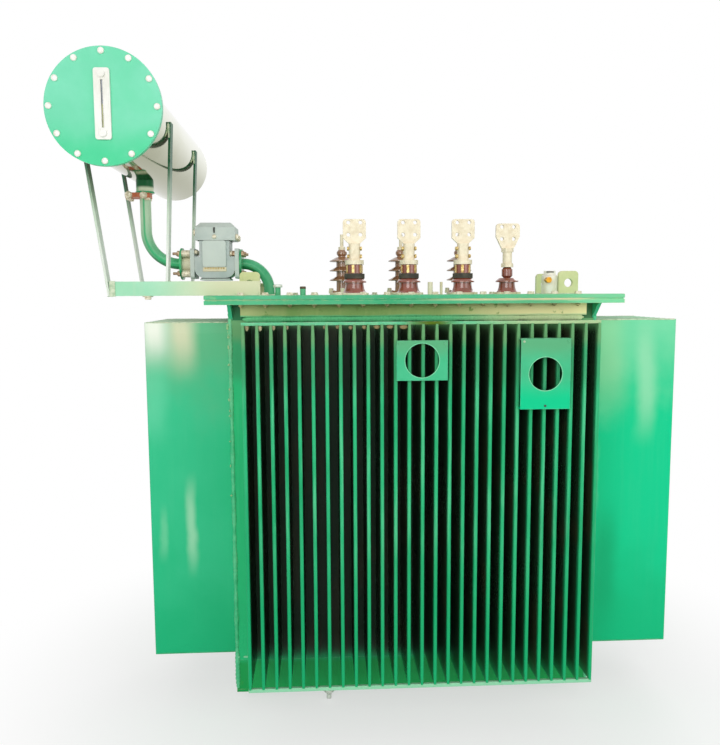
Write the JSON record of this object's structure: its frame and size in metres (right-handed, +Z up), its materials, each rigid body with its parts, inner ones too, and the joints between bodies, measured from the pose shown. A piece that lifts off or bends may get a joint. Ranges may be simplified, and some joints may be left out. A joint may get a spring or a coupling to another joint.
{
  "type": "oil-immersed power transformer",
  "caption": "Power transformer: finned green tank with a bolted cover, porcelain bushings, and a cylindrical oil conservator on legs piped through a gas relay.",
  "frame": {"origin": "floor level under the centre of the tank, at the centre of the foundation bolt pattern", "axes": "+X to the right along the tank as seen from the low-voltage side, +Y from the low-voltage side to the high-voltage side, +Z up"},
  "size_m": [2.159, 1.137, 2.282],
  "materials": {
    "base_paint": "satin dark green paint",
    "tank_paint": "gloss green paint over weld seams",
    "upper_band_paint": "pale yellow-green brushed paint",
    "fin_paint": "gloss green paint",
    "cover_paint": "gloss green paint, worn at the bolt line",
    "plate_paint": "gloss green paint",
    "gasket_rubber": "matt black rubber",
    "conservator_metal": "gloss pale cream",
    "conservator_paint": "gloss mint green paint",
    "gauge_white": "gloss white paint",
    "gauge_glass": "clear glass over oil",
    "support_paint": "pale green paint",
    "pipe_paint": "gloss green paint",
    "valve_red": "orange-red paint",
    "cream_metal": "cream paint",
    "relay_grey": "pale grey hammered paint",
    "lug_paint": "pale yellow-green paint",
    "brass_plug": "worn brass",
    "porcelain": "brown glazed porcelain",
    "terminal_metal": "tinned metal",
    "steel_fittings": "zinc-plated steel"
  },
  "bodies": {
    "root": {"base_channel_front": "base_paint", "base_channel_rear": "base_paint", "bottom_plate": "tank_paint", "lower_bands_front_rear": "tank_paint", "lower_bands_left_right": "tank_paint", "upper_bands_front_rear": "tank_paint", "upper_bands_left_right": "tank_paint", "upper_stiffeners": "upper_band_paint", "front_fin_wall": "fin_paint", "rear_fin_wall": "fin_paint", "left_fin_wall": "fin_paint", "right_fin_wall": "fin_paint", "fin_bars": "fin_paint", "corner_gussets": "tank_paint", "drain_plug": "steel_fittings", "top_flange_front_rear": "cover_paint", "top_flange_left_right": "cover_paint", "cover": "cover_paint", "cover_gasket": "gasket_rubber", "thermometer_plate_centre": "plate_paint", "thermometer_plate_right": "plate_paint", "conservator_shell": "conservator_metal", "conservator_rear_end": "conservator_metal", "conservator_front_flange": "conservator_paint", "conservator_front_cover": "conservator_paint", "oil_gauge_frame": "gauge_white", "oil_gauge_glass": "gauge_glass", "beam_front": "support_paint", "beam_rear": "support_paint", "front_left_leg": "support_paint", "front_right_leg": "support_paint", "rear_left_leg": "support_paint", "rear_right_leg": "support_paint", "conservator_outlet": "pipe_paint", "isolating_valve": "valve_red", "upper_oil_pipe": "pipe_paint", "lower_oil_pipe": "pipe_paint", "relay_adapter": "cream_metal", "relay_flanges": "relay_grey", "relay_body": "relay_grey", "relay_lid": "relay_grey", "relay_window": "relay_grey", "lifting_lugs": "lug_paint", "filler_valve": "cream_metal", "filler_plug": "brass_plug", "lv_porcelain_bases": "porcelain", "lv_porcelain_heads": "porcelain", "hv_porcelain": "porcelain", "lv_gaskets": "gasket_rubber", "neutral_porcelain": "porcelain", "neutral_terminal": "terminal_metal", "lv_terminals": "terminal_metal", "hv_terminals": "terminal_metal", "cover_posts": "pipe_paint", "cover_studs": "cream_metal"}
  },
  "joints": []
}
